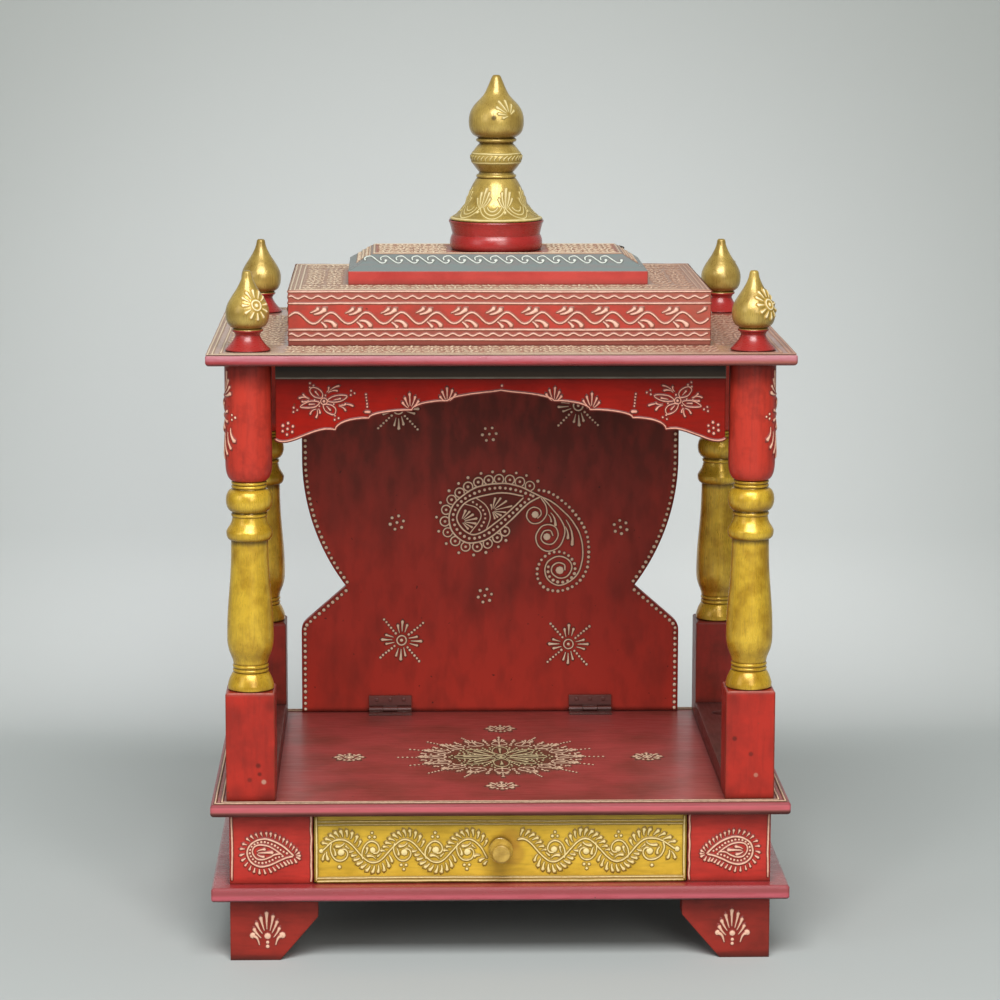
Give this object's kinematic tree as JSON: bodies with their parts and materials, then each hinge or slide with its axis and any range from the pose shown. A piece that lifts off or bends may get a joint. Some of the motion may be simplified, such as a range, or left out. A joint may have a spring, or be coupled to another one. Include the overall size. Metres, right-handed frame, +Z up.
{
  "type": "wooden pooja temple",
  "caption": "Table-top painted wooden shrine: drawer case and tray on bracket feet, turned pillars, stepped roof with finials, scalloped valance and a fold-down back panel.",
  "frame": {"origin": "on the floor, under the middle of the base board", "axes": "+Z up, front faces -Y, +X to the right as seen from the front"},
  "size_m": [0.406, 0.3115, 0.6157],
  "materials": {
    "red_enamel": "red enamel paint on mango wood, satin, rubbed dark at the edges",
    "burgundy_enamel": "deep red enamel paint on board, satin, mottled",
    "gold_paint": "gold paint on turned mango wood, brushed and antiqued",
    "yellow_enamel": "golden yellow enamel paint on wood",
    "grey_enamel": "grey green enamel paint on wood",
    "black_enamel": "black enamel paint on wood",
    "bare_mango": "unpainted mango wood, sanded",
    "plywood": "thin plywood, unpainted",
    "hinge_steel": "pressed steel painted over with the panel",
    "relief_paste": "cream relief paste piped from a cone"
  },
  "bodies": {
    "temple": {"foot_front_left": "red_enamel", "foot_front_right": "red_enamel", "foot_back_left": "red_enamel", "foot_back_right": "red_enamel", "base_board": "burgundy_enamel", "case_left_wall": "red_enamel", "case_right_wall": "red_enamel", "case_back_wall": "red_enamel", "stile_left": "red_enamel", "stile_right": "red_enamel", "drawer_guides": "bare_mango", "tray_board": "burgundy_enamel", "rail_left": "burgundy_enamel", "rail_right": "burgundy_enamel", "post_front_left": "red_enamel", "post_front_right": "red_enamel", "post_back_left": "red_enamel", "post_back_right": "red_enamel", "pillar_front_left": "gold_paint", "pillar_front_right": "gold_paint", "pillar_back_left": "gold_paint", "pillar_back_right": "gold_paint", "hinge_tray_leaves": "hinge_steel", "valance": "red_enamel", "apron_front": "black_enamel", "apron_back": "black_enamel", "aprons_side": "black_enamel", "roof_board": "burgundy_enamel", "roof_box": "red_enamel", "roof_cap": "grey_enamel", "finial_front_left": "gold_paint", "finial_front_right": "gold_paint", "finial_back_left": "gold_paint", "finial_back_right": "gold_paint", "spire_foot": "red_enamel", "spire": "gold_paint"},
    "drawer": {"drawer_front": "yellow_enamel", "drawer_left_side": "bare_mango", "drawer_right_side": "bare_mango", "drawer_back": "bare_mango", "drawer_bottom": "plywood", "drawer_knob": "yellow_enamel"},
    "panel": {"back_panel": "burgundy_enamel", "hinge_panel_leaves": "hinge_steel"}
  },
  "joints": [
    {"name": "drawer_slide", "type": "slide", "parent": "temple", "child": "drawer", "axis": [0, -1, 0], "range_m": [0, 0.19]},
    {"name": "panel_fold", "type": "hinge", "parent": "temple", "child": "panel", "pos_m": [0, 0.1389, 0.1181], "axis": [1, 0, 0], "range_deg": [0, 90]}
  ]
}
